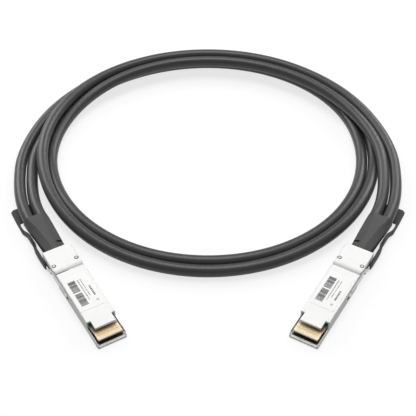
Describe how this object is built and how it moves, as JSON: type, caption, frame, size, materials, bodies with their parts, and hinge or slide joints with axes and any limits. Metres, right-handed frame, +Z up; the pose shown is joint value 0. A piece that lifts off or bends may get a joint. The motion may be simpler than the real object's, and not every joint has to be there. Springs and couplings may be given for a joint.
{
  "type": "direct attach copper cable",
  "caption": "Copper link cable: two round cables in loose turns between two flat metal port connectors with contact cards, spring latches and pull tabs.",
  "frame": {"origin": "on the floor, in the middle of the box round both connectors, without the cables", "axes": "+Z up; both connectors point towards -Y, each turned 30.4 degrees towards the middle, and the cable's turns lie behind them towards +Y; X runs from the left to the right connector"},
  "size_m": [0.2612, 0.289, 0.0166],
  "materials": {
    "die_cast": "satin",
    "circuit_board": "satin",
    "gold_contacts": "satin",
    "chip_plastic": "matt",
    "wire_insulation": "gloss",
    "comb_plastic": "matt",
    "spring_steel": "satin",
    "tab_plastic": "satin",
    "boot_rubber": "matt",
    "label_film": "satin",
    "cable_jacket": "satin"
  },
  "bodies": {
    "root": {"left_lower_shell": "die_cast", "left_upper_shell": "die_cast", "left_paddle_card": "circuit_board", "left_upper_contacts": "gold_contacts", "left_lower_contacts": "gold_contacts", "left_control_chip": "chip_plastic", "left_pair_wires": "wire_insulation", "left_wire_comb": "comb_plastic", "left_latch_springs": "spring_steel", "left_strain_relief": "boot_rubber", "left_cable_ferrules": "spring_steel", "left_shell_screws": "spring_steel", "left_label": "label_film", "right_lower_shell": "die_cast", "right_upper_shell": "die_cast", "right_paddle_card": "circuit_board", "right_upper_contacts": "gold_contacts", "right_lower_contacts": "gold_contacts", "right_control_chip": "chip_plastic", "right_pair_wires": "wire_insulation", "right_wire_comb": "comb_plastic", "right_latch_springs": "spring_steel", "right_strain_relief": "boot_rubber", "right_cable_ferrules": "spring_steel", "right_shell_screws": "spring_steel", "right_label": "label_film", "outer_cable": "cable_jacket", "inner_cable": "cable_jacket"},
    "left_latch": {"left_latch_slider": "spring_steel", "left_pull_tab": "tab_plastic"},
    "right_latch": {"right_latch_slider": "spring_steel", "right_pull_tab": "tab_plastic"}
  },
  "joints": [
    {"name": "left_latch_slide", "type": "slide", "parent": "root", "child": "left_latch", "axis": [-0.506, 0.8625, 0], "range_m": [0, 0.0026], "stiffness_N_per_m": 1500, "deforming": ["left_latch_springs"]},
    {"name": "right_latch_slide", "type": "slide", "parent": "root", "child": "right_latch", "axis": [0.506, 0.8625, 0], "range_m": [0, 0.0026], "stiffness_N_per_m": 1500, "deforming": ["right_latch_springs"]}
  ]
}
